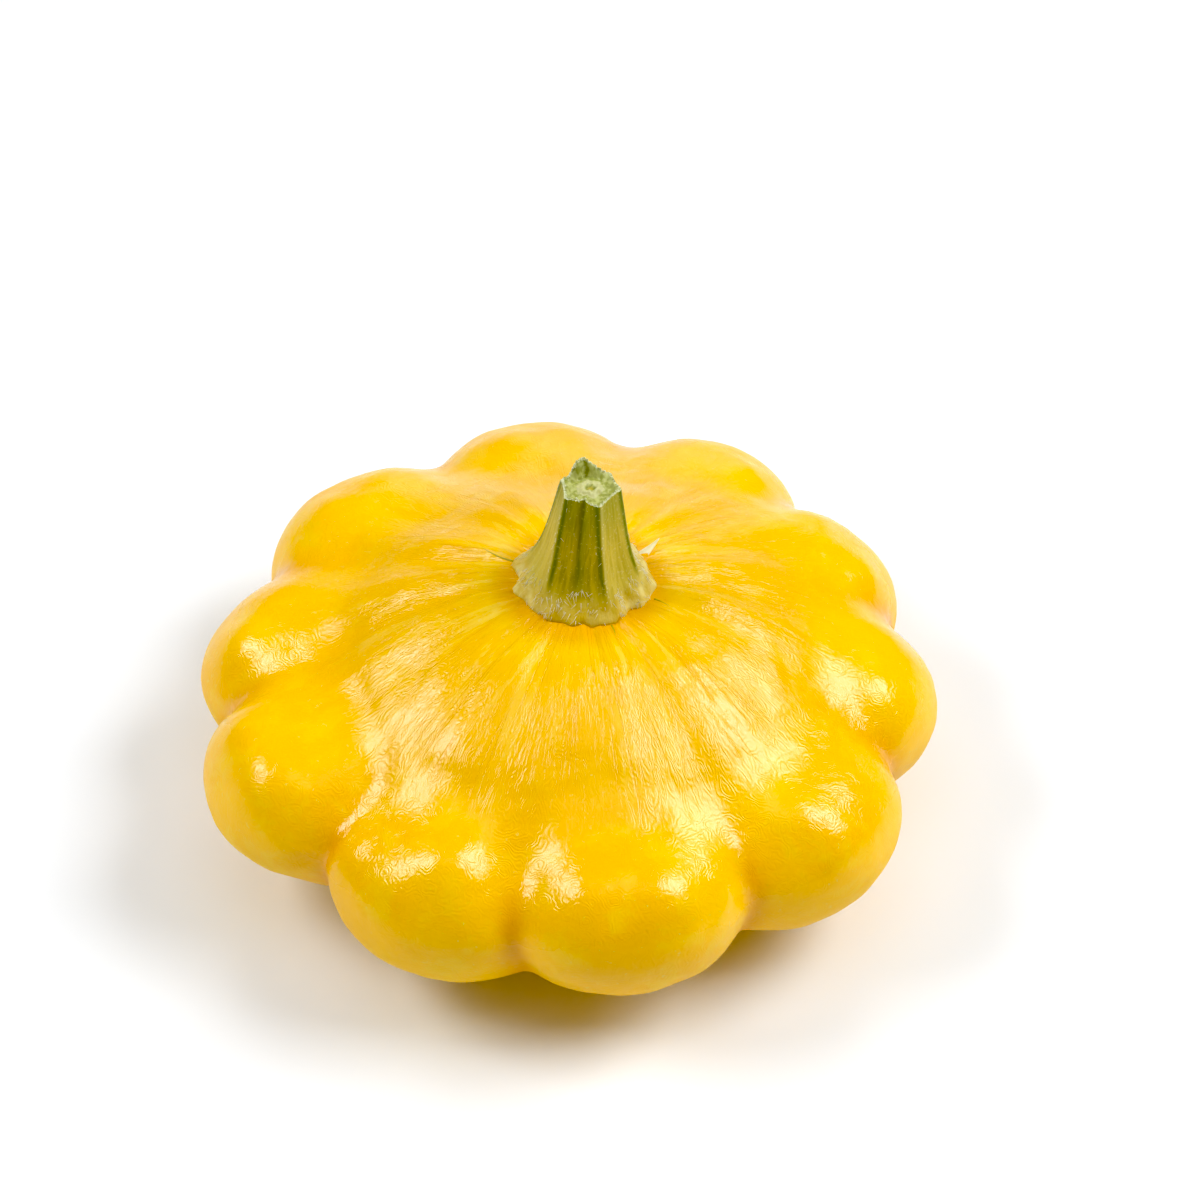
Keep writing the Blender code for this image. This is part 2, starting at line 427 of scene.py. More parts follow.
# %% The stem's profile
# A row to each rib: its azimuth in degrees, its reach at the cut and at the collar in millimetres,
# the side that its green line is on, how green the face after it is, and how many degrees its foot
# is turned by.
RIBS = (
    (-74, 4.9, 11.3, -1, 0.15, 10),
    (-8, 4.7, 12.7, -1, 0.30, -8),
    (44, 4.3, 11.8, 1, 0.80, 0),
    (104, 4.4, 11.2, 1, 0.20, 0),
    (160, 4.7, 12.8, 1, 0.00, -4),
    (214, 4.7, 10.9, 1, 1.00, 13),
)
STEM_SIDES = 216
FOOT_ROWS = 4
SHAFT_ROWS = 96
CUT_ROWS = 28
STEM_LEAN = np.array([1.2, 0.2]) * MM
SHAFT_TAPER = 3.9 * MM
TURNED_RADIUS = 4.8 * MM  # only until the carving, which sets every radius
PITH_SHARE = 0.05

rib_degrees, rib_tops, rib_feet, rib_green_sides, face_shades, rib_twists = np.array(RIBS).T
rib_azimuths = np.radians(rib_degrees)
rib_tops, rib_feet = rib_tops * MM, rib_feet * MM


def stem_profile():
    """Points of (radius, stage): stage -1 to 0 is under the foot, 1 the top edge, 2 the middle of the cut."""
    yield 0.0, -1.0
    for step in range(1, FOOT_ROWS):
        yield step / FOOT_ROWS, step / FOOT_ROWS - 1
    for step in range(SHAFT_ROWS + 1):
        yield 1.0, (step / SHAFT_ROWS) ** 1.5
    for step in range(1, CUT_ROWS + 1):
        inwards = step / CUT_ROWS
        yield 1 + (PITH_SHARE - 1) * inwards, 1 + inwards
    yield 0.0, 2.1


stem_shape = bmesh.new()
profile = [stem_shape.verts.new((TURNED_RADIUS * radius, 0, stage)) for radius, stage in stem_profile()]
outline = [stem_shape.edges.new(pair) for pair in zip(profile, profile[1:])]
bmesh.ops.spin(
    stem_shape,
    geom=profile + outline,
    cent=(0, 0, 0),
    axis=(0, 0, 1),
    angle=math.tau,
    steps=STEM_SIDES,
    use_merge=True,
    use_duplicate=False,
)
bmesh.ops.remove_doubles(stem_shape, verts=stem_shape.verts, dist=1e-7)
bmesh.ops.recalc_face_normals(stem_shape, faces=stem_shape.faces)
print("turned stem:", len(stem_shape.verts), "vertices")

# %% [markdown]
# Between two ribs the side is the straight chord from one to the other, which in polar terms is a
# single line of trigonometry, and an average over a few degrees takes the edge off its corners. On top
# of it go a thin raised cord along each rib, one deep groove at the front, fibres, and the collar with
# its lumps and its edge tucked under.


# %% Carve the side
def between_ribs(azimuth):
    """The two ribs on either side of each azimuth, with the angles from the first rib and to the second."""
    order = np.argsort(rib_azimuths)
    starts = rib_azimuths[order]
    turned = np.mod(azimuth - starts[0], math.tau) + starts[0]
    index = np.searchsorted(starts, turned, side="right") - 1
    ends = np.append(starts[1:], starts[0] + math.tau)
    return order[index], order[(index + 1) % len(order)], turned - starts[index], ends[index] - turned


def rib_radius(rib, rise):
    """The reach of these ribs at a share of the height: a tapering shaft on a collar that flares."""
    down = 1 - rise
    flare = rib_feet[rib] - rib_tops[rib] - SHAFT_TAPER
    return rib_tops[rib] + SHAFT_TAPER * down + flare * down**5


def flat_side(azimuth, rise):
    """The radius of the straight chord between the ribs."""
    first_rib, second_rib, past, ahead = between_ribs(azimuth)
    first_radius, second_radius = rib_radius(first_rib, rise), rib_radius(second_rib, rise)
    return first_radius * second_radius * np.sin(past + ahead) / (
        first_radius * np.sin(past) + second_radius * np.sin(ahead)
    )


GROOVE = math.radians(253)
CORNER_BLUR = (-8, -4, 0, 4, 8)  # degrees
TUCK_DEPTH = 1.1  # millimetres
TUCK_RISE = 0.075  # the share of the height that the tuck takes up
POST_RADIUS, POST_HEIGHT = 9 * MM, 20 * MM  # a plain round post, over which the field of lumps is laid


def carved_side(azimuth, rise, points):
    """The radius of the stem's side. The first number of each term is in millimetres."""
    shaft = ramp(rise, 0.05, 0.30)
    collar = 1 - ramp(rise, 0.0, 0.30)
    _, _, past, ahead = between_ribs(azimuth)
    to_rib = np.minimum(past, ahead)
    middle = np.sin(math.pi * past / (past + ahead))
    flat = sum(flat_side(azimuth + math.radians(turn), rise) for turn in CORNER_BLUR) / len(CORNER_BLUR)
    bulge = (0.03 + 0.10 * bell(turn_between(azimuth, GROOVE), 0.6)) * (1 - ramp(rise, 0.0, 0.22))
    radius = flat * (1 + middle * (bulge - 0.03 * shaft))
    cord = 0.22 * bell(to_rib * radius / MM, 0.50) * ramp(rise, 0.10, 0.30)
    groove = 0.65 * bell(turn_between(azimuth, GROOVE), 0.15) * ramp(rise, 0.12, 1.0)
    fibres = (0.006 * flutes(azimuth, 60, 100, 51) + 0.012 * flutes(azimuth, 22, 40, 52)) * shaft
    lumps = collar * (0.34 * flutes(azimuth, 7, 18, 53) + 0.07 * ripples(points, 2.4 * MM, 54))
    untucked = np.clip(rise / TUCK_RISE, 0, 1)
    tuck = TUCK_DEPTH * (1 - np.sqrt(untucked * (2 - untucked)))
    return radius + (cord - groove + fibres + lumps - tuck) * MM


turned = coordinates(stem_shape.verts)
azimuth = np.arctan2(turned[:, 1], turned[:, 0])
stage = turned[:, 2]
rise = np.clip(stage, 0, 1)
inwards = np.clip(stage - 1, 0, 1)
turned_share = np.linalg.norm(turned[:, :2], axis=1) / TURNED_RADIUS
post = np.stack([np.cos(azimuth) * POST_RADIUS, np.sin(azimuth) * POST_RADIUS, rise * POST_HEIGHT], axis=1)
side = carved_side(azimuth, rise, post)
radius = side * turned_share
twist = np.interp(np.degrees(azimuth), rib_degrees, rib_twists, period=360) * (1 - rise)
turned_azimuth = azimuth + np.radians(twist)
compass = np.stack([np.cos(turned_azimuth), np.sin(turned_azimuth)], axis=1)
plan = STEM_FOOT + rise[:, None] * STEM_LEAN + radius[:, None] * compass
print("stem radius from", round(float(side.min()) / MM, 1), "to", round(float(side.max()) / MM, 1), "mm")

# %% [markdown]
# ## The cut end
#
# A knife went through most of the stem, and the last fibres tore, which left a shard standing at the
# back. The cut shows the plant's plumbing: a jagged pale rim of crushed cells, a green ring that has
# shrunk a little as it dried, a pale ring, and a small hole where the pith was.

# %% Cut and tear
SHARD_HEIGHT = 2.2 * MM
CUT_HEIGHT = stem_high.z - SHARD_HEIGHT
SHARD_PEAK = math.radians(118)
SUNK = 0.35 * MM  # how far the foot presses into the skin


def torn(azimuth):
    """The height of the torn fibres: highest at the back, steep on one side of that and slow on the other."""
    turn = turn_between(azimuth, SHARD_PEAK)
    steep = ramp(turn, math.radians(30), math.radians(3))
    slow = ramp(turn, math.radians(-75), math.radians(-5))
    return SHARD_HEIGHT * np.where(turn > 0, steep, slow)


def skin_under(x, y):
    """The height of the finished skin below a point."""
    hit, _, _, _ = skin_tree.ray_cast(Vector((x, y, 2 * CROWN_TOP)), Vector((0, 0, -1)))
    return hit.z


foot = np.array([skin_under(x, y) for x, y in plan]) - SUNK
flat_plan = np.column_stack([plan, np.zeros(len(plan))])
cells = 0.07 * ripples(flat_plan, 0.8 * MM, 61) * ramp(inwards, 0.0, 0.05)
rim = bell(inwards - 0.05, 0.08) * (0.12 + 0.10 * flutes(azimuth, 34, 70, 62))
dish = -0.30 * ramp(inwards, 0.12, 0.35) * ramp(inwards, 0.75, 0.55)
pith_ring = 0.10 * bell(inwards - 0.72, 0.10)
pith = -0.45 * ramp(inwards, 0.84, 1.0)
cut = CUT_HEIGHT + torn(azimuth) * ramp(inwards, 0.42, 0.06) + (cells + rim + dish + pith_ring + pith) * MM
height = np.where(stage > 0, foot + (cut - foot) * rise, foot)
place(stem_shape.verts, np.column_stack([plan, height]))
stem = finished("stem_stalk", stem_shape)
print("stem from", round(float(height.min()) / MM, 1), "to", round(float(height.max()) / MM, 1), "mm")

# %% [markdown]
# Four attributes tell the stem's material where it is. `grain` is the azimuth as a point on a circle
# with the stage as its third number. `green` is high where chlorophyll shows: along one side of each
# rib and down the groove. `chalk` is the pale line on the other side of a rib, and `shade` is how green
# the whole face between two ribs is. The first two lines lie at their own distances from the rib.

# %% Mark the stem
first_rib, second_rib, past, ahead = between_ribs(azimuth)
nearest = np.where(past < ahead, first_rib, second_rib)
from_rib = np.minimum(past, ahead) * side
beyond = np.where(past < ahead, past, -ahead) * side * rib_green_sides[nearest] / MM
upper = ramp(rise, 0.16, 0.34)
green_line = bell(beyond - 0.40, 0.34) * upper
chalk_line = bell(beyond + 0.35, 0.26) * ramp(rise, 0.10, 0.4)
groove_line = bell(turn_between(azimuth, GROOVE), 0.14) * upper
face_green = face_shades[first_rib] * ramp(from_rib / MM, 0.0, 0.5)
note(stem, "grain", np.column_stack([compass, stage]))
note(stem, "green", np.clip(green_line + 0.6 * groove_line, 0, 1))
note(stem, "chalk", chalk_line)
note(stem, "shade", face_green)

# %% [markdown]
# ## Small things at the foot of the stem
#
# Where the collar meets the skin there is a litter of small detail: stiff glassy hairs, green veins
# that run out from the corners of the collar onto the skin, and one papery flap of torn membrane.
# Hairs are cones of a few faces, because there are hundreds. Most of them lie downhill on the collar,
# thicker in some places than in others, and a few short ones stand along the ribs.

# %% Hairs
HAIRS = 460
ON_COLLAR = 0.88  # the share of the hairs that grow there
hair_draw = np.random.default_rng(71)
stem_normals = np.array([vertex.normal for vertex in stem.data.vertices])
stem_points = coordinates(stem.data.vertices)
on_collar = np.flatnonzero((stage > 0.03) & (stage < 0.24))
hairy = np.exp(1.3 * ripples(stem_points[on_collar], 3.0 * MM, 72))
on_shaft = np.flatnonzero((stage > 0.20) & (stage < 0.97) & (from_rib < 0.8 * MM))
hair_shape = bmesh.new()
for index in range(HAIRS):
    low = index < ON_COLLAR * HAIRS
    root = hair_draw.choice(on_collar, p=hairy / hairy.sum()) if low else hair_draw.choice(on_shaft)
    normal = Vector(stem_normals[root])
    downhill = (Vector((0, 0, -1)) - normal * -normal.z).normalized()
    wander = Vector(hair_draw.normal(size=3) * 0.45)
    lift = normal * hair_draw.uniform(0.02, 0.30)
    growth = (downhill + wander - normal * wander.dot(normal) + lift).normalized()
    length = hair_draw.uniform(0.3, 1.5) * MM * (1 if low else 0.5)
    turned_to = growth.to_track_quat("Z", "Y").to_matrix().to_4x4()
    turned_to.translation = Vector(stem_points[root]) + growth * length * 0.4 + normal * 0.03 * MM
    bmesh.ops.create_cone(
        hair_shape,
        cap_ends=True,
        segments=5,
        radius1=0.038 * MM,
        radius2=0.014 * MM,
        depth=length,
        matrix=turned_to,
    )
hairs = finished("stem_hairs", hair_shape)

# %% [markdown]
# The knife burst the outermost cells of the cut, and each left a bead of dried sap. The rim already has
# uneven relief, so balls of twenty faces, half sunk in it, are enough to break up its outline.

# %% Crushed cells on the rim of the cut
BEADS = 90
on_rim = np.flatnonzero((inwards > 0.02) & (inwards < 0.14))
bead_shape = bmesh.new()
for root in hair_draw.choice(on_rim, BEADS, replace=False):
    placed = Matrix.Translation(Vector(stem_points[root]) + Vector((0, 0, 0.03 * MM)))
    bmesh.ops.create_icosphere(
        bead_shape, subdivisions=1, radius=hair_draw.uniform(0.07, 0.20) * MM, matrix=placed
    )
beads = finished("cut_beads", bead_shape)

# %% [markdown]
# A vein and the flap each start as a cube, cut into a lattice and then drawn out to a blade, so they
# are closed all round. A vein is laid along the skin by looking up the skin's height under each point.
# The flap stands free: it rises from the skin beside the collar and its edges curl up.


# %% Veins and the flap
LATTICE_CUTS = 9


def lattice(cuts):
    """A unit cube with its faces cut into a grid, centred on the origin, and its coordinates."""
    shape = bmesh.new()
    bmesh.ops.create_cube(shape, size=1)
    bmesh.ops.subdivide_edges(shape, edges=shape.edges, cuts=cuts, use_grid_fill=True)
    return shape, coordinates(shape.verts)


def vein(name, azimuth, length, width):
    """A green vein lying on the skin, from under the collar outwards to a point."""
    shape, unit = lattice(LATTICE_CUTS)
    turn = math.radians(azimuth)
    ahead_of, beside = np.array([math.cos(turn), math.sin(turn)]), np.array([-math.sin(turn), math.cos(turn)])
    along = unit[:, 0] + 0.5
    reach = np.interp(azimuth, rib_degrees, rib_feet, period=360)
    radius = reach - 1.0 * MM + along * (length + 1.0 * MM)
    half = width / 2 * (1 - 0.85 * along)
    bow = -0.30 * length * along**2
    flat = STEM_FOOT + radius[:, None] * ahead_of + (unit[:, 1] * 2 * half + bow)[:, None] * beside
    crown = half * 0.8 * (1 - (unit[:, 1] * 2) ** 2) * (unit[:, 2] + 0.5)
    bed = np.array([skin_under(x, y) for x, y in flat])
    place(shape.verts, np.column_stack([flat, bed + crown - 0.04 * MM]))
    return finished(name, shape)


veins = [
    vein("vein_left", 155, 6.0 * MM, 0.45 * MM),
    vein("vein_right", -18, 1.8 * MM, 0.45 * MM),
    vein("vein_front", -66, 1.6 * MM, 0.40 * MM),
    vein("vein_back", 104, 2.4 * MM, 0.45 * MM),
]

flap_shape, unit = lattice(LATTICE_CUTS)
along, across = unit[:, 0] + 0.5, unit[:, 1] * 2
flap_root, flap_tip = np.array([10.0, 5.9, 45.8]) * MM, np.array([13.6, 8.9, 48.0]) * MM
blade = (1 - along**1.3) * 0.95 * MM
sideways = np.array([-0.45, 0.80, 0.40])
curl = np.array([-0.5, -0.4, 0.75])
arch = np.sin(math.pi * along)[:, None] * curl * 0.35 * MM
spine = flap_root + along[:, None] * (flap_tip - flap_root) - arch
curled = across**2 * blade * 0.5 + unit[:, 2] * 0.09 * MM
sheet = spine + (across * blade)[:, None] * sideways + curled[:, None] * curl
place(flap_shape.verts, sheet)
bmesh.ops.recalc_face_normals(flap_shape, faces=flap_shape.faces)
flap = finished("membrane_flap", flap_shape)

# %% [markdown]
# ## Shader maths in Python
#
# A material is a graph of nodes, and graphs that mix six patterns are hard to read as boxes and
# wires. Here a `Value` wraps one socket, and Python's own operators add the Math nodes. `Finish` is
# the material under construction, and its `node` method adds any other node: type first, then
# settings, then what goes into its sockets.


# %% A small language for finishes
class Value:
    """One output socket, to be used in ordinary arithmetic."""

    def __init__(self, finish, socket):
        self.finish = finish
        self.socket = socket

    def math(self, operation, *values):
        return self.finish.node("ShaderNodeMath", {"operation": operation}, dict(enumerate(values)))

    def __add__(self, other):
        return self.math("ADD", self, other)

    def __radd__(self, other):
        return self.math("ADD", other, self)

    def __sub__(self, other):
        return self.math("SUBTRACT", self, other)

    def __rsub__(self, other):
        return self.math("SUBTRACT", other, self)

    def __mul__(self, other):
        return self.math("MULTIPLY", self, other)

    def __rmul__(self, other):
        return self.math("MULTIPLY", other, self)

    def __abs__(self):
        return self.math("ABSOLUTE", self)

    def sine(self):
        return self.math("SINE", self)

    def between(self, start, end):
        """0 at start and 1 at end with soft ends. Start may be the higher one."""
        settings = {"interpolation_type": "SMOOTHSTEP"}
        if start < end:
            return self.finish.node("ShaderNodeMapRange", settings, {0: self, 1: start, 2: end})
        return self.finish.node("ShaderNodeMapRange", settings, {0: self, 1: end, 2: start, 3: 1.0, 4: 0.0})

    def mix(self, colour, other):
        """This value as the share of the other colour that goes over the first."""
        settings = {"data_type": "RGBA"}
        return self.finish.node("ShaderNodeMix", settings, {0: self, 6: colour, 7: other}, output=2)

    def stretched(self, x, y, z):
        """A vector multiplied along each axis."""
        return self.finish.node("ShaderNodeVectorMath", {"operation": "MULTIPLY"}, {0: self, 1: (x, y, z)})

    def axis(self, index):
        """One of the three numbers of a vector."""
        return self.finish.node("ShaderNodeSeparateXYZ", {}, {0: self}, output=index)


class Finish:
    """A material under construction."""

    def __init__(self, name):
        self.material = bpy.data.materials.new(name)
        self.material.use_nodes = True
        self.nodes = self.material.node_tree.nodes
        self.links = self.material.node_tree.links
        self.shader = self.nodes["Principled BSDF"]

    def feed(self, socket, value):
        if isinstance(value, Value):
            self.links.new(value.socket, socket)
        else:
            socket.default_value = value

    def node(self, kind, settings=None, sockets=None, output=0):
        """Adds a node: its settings come first, then the numbers, colours and links of its sockets."""
        made = self.nodes.new(kind)
        for name, value in (settings or {}).items():
            setattr(made, name, value)
        for key, value in (sockets or {}).items():
            self.feed(made.inputs[key], value)
        return Value(self, made.outputs[output])

    def attribute(self, name, output=1):
        return self.node("ShaderNodeAttribute", {"attribute_name": name}, output=output)

    def place(self):
        """Where the point is on the object, in metres."""
        return self.node("ShaderNodeTexCoord", output=3)

    def noise(self, vector, scale, detail=2.0, roughness=0.5, distortion=0.0):
        """A cloudy pattern, mostly between 0.3 and 0.7."""
        sockets = {"Vector": vector, "Scale": scale, "Detail": detail}
        sockets |= {"Roughness": roughness, "Distortion": distortion}
        return self.node("ShaderNodeTexNoise", {}, sockets)

    def surface(self, **sockets):
        """Feeds the shader, with socket names written in small letters and underscores."""
        for name, value in sockets.items():
            self.feed(self.shader.inputs[name.replace("_", " ").title().replace("Ior", "IOR")], value)

    def bump(self, height, distance=MM):
        """Gives the shader a normal from a height in millimetres."""
        self.surface(normal=self.node("ShaderNodeBump", {}, {"Height": height, "Distance": distance}))

    def coat(self, made, node=None):
        """Puts the finish on a piece, hangs it on the frame's root, and hides the imported part that it
        stands for.
        """
        made.data.materials.append(self.material)
        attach(made, "root")
        if node:
            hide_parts(node)


def paint(red, green, blue):
    """A colour as it should look, from 0 to 255, as the linear light that shaders work in."""
    shares = np.array([red, green, blue]) / 255
    linear = np.where(shares <= 0.04045, shares / 12.92, ((shares + 0.055) / 1.055) ** 2.4)
    return (*linear.tolist(), 1.0)


print("golden yellow in linear light:", np.round(paint(245, 190, 10), 3))

# %% [markdown]
# ## The waxy skin
#
# Ripe yellow skin is built in layers. At the bottom lies a strong yellow, lemon near the stem, a deeper
# gold over the middle of the crown that is painted shade, and orange painted shade where the folds keep
# the light out. Pale cream streaks follow the meridians from the stem, darker lines run down between
# the pleats, pale clouds lie on the lobes, and tiny pale dots are everywhere. The scar underneath is
# brown cork.

# %% Colour the skin
wax = Finish("waxy_yellow_skin")
at = wax.place()
grain = wax.attribute("grain")
down = grain.axis(2)
height_here = at.axis(2)

golden = wax.noise(at, 45, 2.0)
yellow = golden.between(0.35, 0.65).mix(paint(254, 198, 3), paint(249, 188, 2))
lemon = down.between(0.85, 0.25)
yellow = (lemon * 0.8).mix(yellow, paint(246, 203, 12))

ragged = wax.noise(grain.stretched(42, 42, 16), 1.0, 4.0, 0.7)
long_streaks = wax.noise(grain.stretched(8, 8, 2.4), 1.0, 5.0, 0.66, 0.3)
fine_streaks = wax.noise(grain.stretched(34, 34, 10), 1.0, 4.0, 0.6)
streaks = (long_streaks + 0.30 * ragged - 0.15).between(0.52, 0.62)
hairlines = fine_streaks.between(0.50, 0.66)
on_crown = down.between(1.35, 0.95)
near_stem = down.between(0.75, 0.3)
# Painted shade: a deeper gold band over the middle of the crown, with fewer pale clouds on it.
mid_crown_shade = down.between(1.20, 0.95) * down.between(0.30, 0.75)
yellow = (mid_crown_shade * 0.75).mix(yellow, paint(240, 182, 3))
streaky = (streaks * (0.24 + 0.54 * near_stem) + hairlines * (0.05 + 0.2 * near_stem)) * on_crown
yellow = streaky.mix(yellow, paint(252, 220, 88))

clouds = wax.noise(at, 150, 6.0, 0.66, 0.4)
cloudy = clouds.between(0.46, 0.64) * (0.5 - 0.35 * mid_crown_shade)
yellow = cloudy.mix(yellow, paint(250, 208, 50))

pleat = abs(wax.noise(grain.stretched(15, 15, 0.7), 1.0, 3.0, 0.5, 0.2) - 0.5).between(0.022, 0.0)
pleat = pleat * down.between(1.25, 0.95) * wax.noise(grain.stretched(6, 6, 2), 1.0, 1.0).between(0.42, 0.6)
yellow = (pleat * 0.4).mix(yellow, paint(236, 164, 1))

specks = wax.noise(at, 1000, 3.0, 0.7).between(0.635, 0.70)
strokes = wax.noise(grain.stretched(60, 60, 22), 1.0, 3.0, 0.7).between(0.63, 0.70)
flecks = (specks + strokes * on_crown) * 0.55
yellow = flecks.mix(yellow, paint(243, 215, 105))

# Painted shade: orange in the folds between lobes and a painted shadow under the collar, weaker where the
# folds open out onto the crown.
fold = wax.attribute("crease", output=2)
open_fold = down.between(0.6, 0.9) * down.between(1.45, 1.2)
yellow = (fold * (0.75 - 0.6 * open_fold)).mix(yellow, paint(225, 149, 0))
belly = height_here.between(12 * MM, 3 * MM)
yellow = (belly * 0.5).mix(yellow, paint(246, 184, 12))

across = wax.node("ShaderNodeVectorMath", {"operation": "LENGTH"}, {0: at.stretched(1, 1, 0)}, output=1)
scar = across.between(10.2 * MM, 8.6 * MM) * height_here.between(3 * MM, 2 * MM)
cork = wax.noise(at, 900, 3.0).mix(paint(150, 112, 62), paint(196, 160, 100))
yellow = scar.mix(yellow, cork)
wax.surface(base_color=yellow)

# %% [markdown]
# ## Wrinkles in the wax
#
# Seen in a highlight, the skin is covered in fine dents, and between them in contour lines like a
# fingerprint. A sine of a smooth noise draws just such lines, because it rises and falls once for each
# equal step of the noise. On the crown the noise is stretched along the meridians, so there the lines
# run mostly away from the stem, as do long shallow wrinkles and cracks.
#
# The wax is the shader's own gloss. It is sharpest on top of the lobes and duller on their shoulders,
# round the outermost edge and low down, where the fruit has been rubbed. A little subsurface scattering
# stands for the flesh below.

# %% Wrinkle the skin
crown_contours = wax.noise(grain.stretched(20, 20, 9.0), 1.0, 1.5, 0.4)
lobe_contours = wax.noise(at, 360, 1.5, 0.35)
over_crown = down.between(1.25, 1.05)
contours = lobe_contours + (crown_contours - lobe_contours) * over_crown
prints = (contours * 75).sine()
dents = wax.noise(at, 560, 4.0, 0.6)
drawn = wax.noise(grain.stretched(19, 19, 8.0), 1.0, 4.0, 0.6)
cracks = abs(wax.noise(grain.stretched(11, 11, 2.2), 1.0, 4.0, 0.6, 0.4) - 0.5).between(0.0, 0.03)
lengthwise = 0.055 * drawn + 0.02 * cracks - 0.04 * pleat
wrinkles = 0.009 * prints + (0.085 - 0.03 * over_crown) * dents + lengthwise * down.between(1.30, 0.9)
wax.bump(wrinkles)
uneven = wax.noise(at, 260, 2.0)
rubbed = height_here.between(27 * MM, 17 * MM)
outermost = across.between(51 * MM, 59 * MM)
polish = 0.15 + 0.08 * uneven + 0.05 * over_crown
shoulder = down.between(0.90, 1.20) * down.between(1.36, 1.24)
dull = 0.05 * shoulder + 0.20 * rubbed + 0.16 * outermost + 0.2 * scar
wax.surface(roughness=polish + dull)
wax.surface(specular_ior_level=0.56)
wax.surface(subsurface_weight=0.04, subsurface_radius=(1.0, 0.8, 0.1), subsurface_scale=0.8 * MM)
wax.coat(fruit, "fruit")

# %% [markdown]
# ## The stem's finish
#
# The stem is dry and fibrous rather than waxy. Its colour runs from a fresh green at the cut down to
# a pale yellow at the collar, which is wetter and so a little glossier. Fibres are a noise drawn out
# lengthwise, read from the `grain` attribute so that they follow the taper. The cut end takes its
# rings from the same attribute, because the stage goes on counting across it, from 1 at the rim to 2
# at the pith.

# %% Colour the stem
bark = Finish("fibrous_green_stem")
at = bark.place()
grain = bark.attribute("grain")
up = grain.axis(2)
fibre = bark.noise(grain.stretched(8, 8, 3.0), 1.0, 5.0, 0.65, 0.5)
fine_fibre = bark.noise(grain.stretched(48, 48, 3.0), 1.0, 2.0)
khaki = fibre.between(0.35, 0.65).mix(paint(184, 164, 56), paint(206, 186, 80))
khaki = (fine_fibre.between(0.45, 0.65) * 0.22).mix(khaki, paint(208, 188, 84))
olive = fibre.between(0.36, 0.60).mix(paint(150, 140, 26), paint(190, 170, 50))
green_face = bark.attribute("shade", output=2)
side_colour = (green_face * up.between(0.12, 0.40)).mix(khaki, olive)
fresh = up.between(0.55, 1.0)
side_colour = (fresh * 0.6).mix(side_colour, paint(130, 136, 28))
collar_tint = (up + 0.12 * (fibre - 0.5)).between(0.24, 0.05)
amber = bark.noise(at, 420, 3.0).between(0.4, 0.62).mix(paint(214, 184, 84), paint(232, 214, 136))
# Painted shade: the side of the collar that faces the camera, towards -y, is mixed to a darker amber.
front_shade = (0.0 - grain.axis(1)).between(0.45, 0.95)
amber = (front_shade * 0.65).mix(amber, paint(204, 172, 62))
side_colour = (collar_tint * 0.9).mix(side_colour, amber)
green = bark.attribute("green", output=2)
side_colour = (green * 0.9).mix(side_colour, paint(84, 106, 6))
chalk = bark.attribute("chalk", output=2)
side_colour = (chalk * 0.55).mix(side_colour, paint(190, 182, 108))
beaded = bark.noise(at, 2100, 1.0).between(0.61, 0.67) * up.between(0.02, 0.12)
side_colour = (beaded * (0.22 + 0.6 * chalk)).mix(side_colour, paint(224, 214, 156))

cut_green = bark.noise(at, 1400, 2.0).between(0.4, 0.6).mix(paint(148, 154, 78), paint(182, 186, 116))
ring = up.between(1.50, 1.60) * up.between(1.90, 1.80)
cut_colour = (ring * 0.75).mix(cut_green, paint(212, 210, 154))
crushed = up.between(1.15, 1.04) * bark.noise(at, 1900, 2.0).between(0.38, 0.52)
cut_colour = crushed.mix(cut_colour, paint(216, 220, 178))
hole = up.between(1.90, 2.0)
cut_colour = hole.mix(cut_colour, paint(182, 170, 70))
on_cut = up.between(1.0, 1.01)
bark.surface(base_color=on_cut.mix(side_colour, cut_colour))
wet_lumps = bark.noise(at, 650, 3.0) * collar_tint
grooves = 0.02 * fibre + 0.02 * fine_fibre + 0.05 * bark.noise(at, 1300, 2.0) + 0.14 * wet_lumps
bark.bump(grooves)
bark.surface(roughness=0.44 - 0.22 * collar_tint + 0.10 * fine_fibre)
bark.surface(subsurface_weight=0.15, subsurface_radius=(1.0, 0.8, 0.3), subsurface_scale=1.0 * MM)
bark.coat(stem, "stem")

# %% [markdown]
# The small pieces get finishes of their own. The hairs and the membrane are colourless and dry, so
# they are nearly white with a soft gloss, the burst cells are a pale green, and the veins carry the
# green of the ribs down to the skin.

# %% Finish the small pieces
glassy = Finish("glassy_hair")
pale = glassy.noise(glassy.place(), 700, 1.0)
glassy.surface(base_color=pale.mix(paint(236, 230, 196), paint(252, 252, 240)), roughness=0.25 + 0.15 * pale)
glassy.coat(hairs)

crushed_finish = Finish("crushed_cells")
wet = crushed_finish.noise(crushed_finish.place(), 1500, 1.0)
crushed_finish.surface(base_color=wet.between(0.35, 0.65).mix(paint(176, 182, 112), paint(222, 224, 186)))
crushed_finish.surface(roughness=0.3 + 0.2 * wet)
crushed_finish.coat(beads)

sap = Finish("green_vein")
tint = sap.noise(sap.place(), 800, 2.0)
sap.surface(base_color=tint.mix(paint(150, 142, 30), paint(200, 176, 48)), roughness=0.35 + 0.2 * tint)
for piece in veins:
    sap.coat(piece)

papery = Finish("papery_membrane")
veining = papery.noise(papery.place().stretched(1, 1, 0.3), 1600, 3.0)
papery.surface(base_color=veining.mix(paint(238, 226, 160), paint(252, 250, 226)))
papery.surface(roughness=0.4 + 0.2 * veining)
papery.surface(subsurface_weight=0.2, subsurface_radius=(1.0, 0.9, 0.6), subsurface_scale=0.5 * MM)
papery.bump(0.05 * veining)
papery.coat(flap)

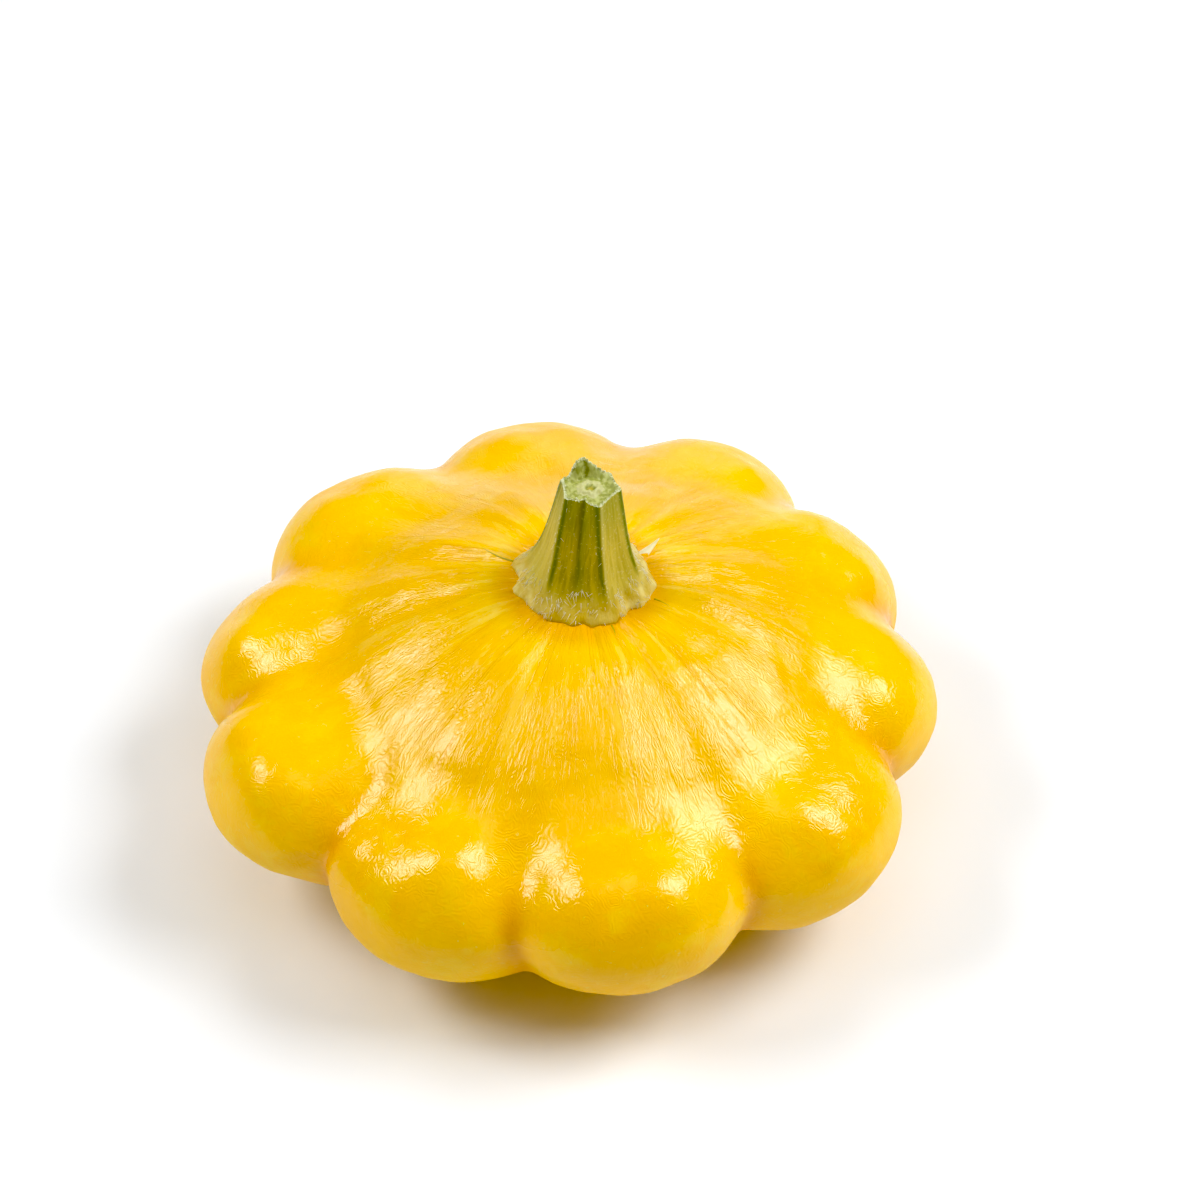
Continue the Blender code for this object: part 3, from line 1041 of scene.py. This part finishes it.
# %% [markdown]
# ## The studio
#
# A white table top, two softboxes high on the left and right, a weak one overhead and another low at
# the back, and grey walls, darker on the camera's side. The two strong softboxes make the broad
# highlights on the lobes and on the sides of the crown. The dark stretch between them matters as much:
# it is what the front of the crown mirrors, so the yellow there stays deep.


# %% Floor, light and camera
LAMP_DISTANCE = 0.9


def softbox(name, azimuth, elevation, width, height, watts):
    """A lamp that faces the origin from this direction, given in degrees. Its size is in metres."""
    light = bpy.data.lights.new(name, "AREA")
    light.shape = "RECTANGLE"
    light.size = width
    light.size_y = height
    light.energy = watts
    turn, lift = math.radians(azimuth), math.radians(elevation)
    away = Vector((math.cos(turn) * math.cos(lift), math.sin(turn) * math.cos(lift), math.sin(lift)))
    lamp = bpy.data.objects.new(name, light)
    lamp.location = away * LAMP_DISTANCE
    lamp.rotation_euler = away.to_track_quat("Z", "Y").to_euler()
    bpy.context.scene.collection.objects.link(lamp)


softbox("left_softbox", 178, 47, 0.42, 0.34, 4.0)
softbox("right_softbox", 3, 49, 0.50, 0.42, 6.0)
softbox("back_fill", 84, 16, 0.50, 0.30, 0.4)
softbox("top_fill", -90, 82, 0.60, 0.50, 1.0)

floor_shape = bmesh.new()
bmesh.ops.create_grid(floor_shape, x_segments=1, y_segments=1, size=4.0)
floor = finished("table_top", floor_shape)
table = Finish("white_table")
table.surface(base_color=(0.94, 0.965, 0.99, 1), roughness=0.6, specular_ior_level=0.2)
floor.data.materials.append(table.material)

NEAR_WALL, FAR_WALL = 0.15, 0.34  # how bright the walls are, behind the camera and across the room
walls = bpy.data.worlds.new("studio")
bpy.context.scene.world = walls
walls.use_nodes = True
room = walls.node_tree
ray = room.nodes.new("ShaderNodeTexCoord")
parts = room.nodes.new("ShaderNodeSeparateXYZ")
shade = room.nodes.new("ShaderNodeMapRange")
room.links.new(ray.outputs["Generated"], parts.inputs[0])
room.links.new(parts.outputs["Y"], shade.inputs["Value"])
shade.inputs["From Min"].default_value = -0.3
shade.inputs["From Max"].default_value = 0.9
shade.inputs["To Min"].default_value = NEAR_WALL
shade.inputs["To Max"].default_value = FAR_WALL
room.links.new(shade.outputs[0], room.nodes["Background"].inputs["Strength"])
room.nodes["Background"].inputs["Color"].default_value = (1, 1, 1, 1)

TILT = math.radians(46.4)
CAMERA_DISTANCE = 0.4667
VIEW_HEIGHT = 18.5 * MM
AIM_ACROSS, AIM_UP = 4.4 * MM, 17.8 * MM  # how far off the middle of the fruit the camera looks
SENSOR, LENS = 36, 87.33  # millimetres
forward = Vector((0, math.cos(TILT), -math.sin(TILT)))
upward = Vector((0, math.sin(TILT), math.cos(TILT)))
heart_of_view = Vector((0, 0, VIEW_HEIGHT))
camera = bpy.data.objects.new("camera", bpy.data.cameras.new("camera"))
camera.data.sensor_width = SENSOR
camera.data.lens = LENS
camera.location = heart_of_view - forward * CAMERA_DISTANCE
target = heart_of_view + Vector((AIM_ACROSS, 0, 0)) + upward * AIM_UP
camera.rotation_euler = (target - camera.location).to_track_quat("-Z", "Y").to_euler()
bpy.context.scene.collection.objects.link(camera)
bpy.context.scene.camera = camera

# The black level is a little higher in blue, which takes the haze out of the deep yellow.
grade = bpy.context.scene.view_settings
grade.view_transform = "Standard"
grade.use_curve_mapping = True
grade.curve_mapping.black_level = (0.02, 0.025, 0.05)
grade.curve_mapping.update()
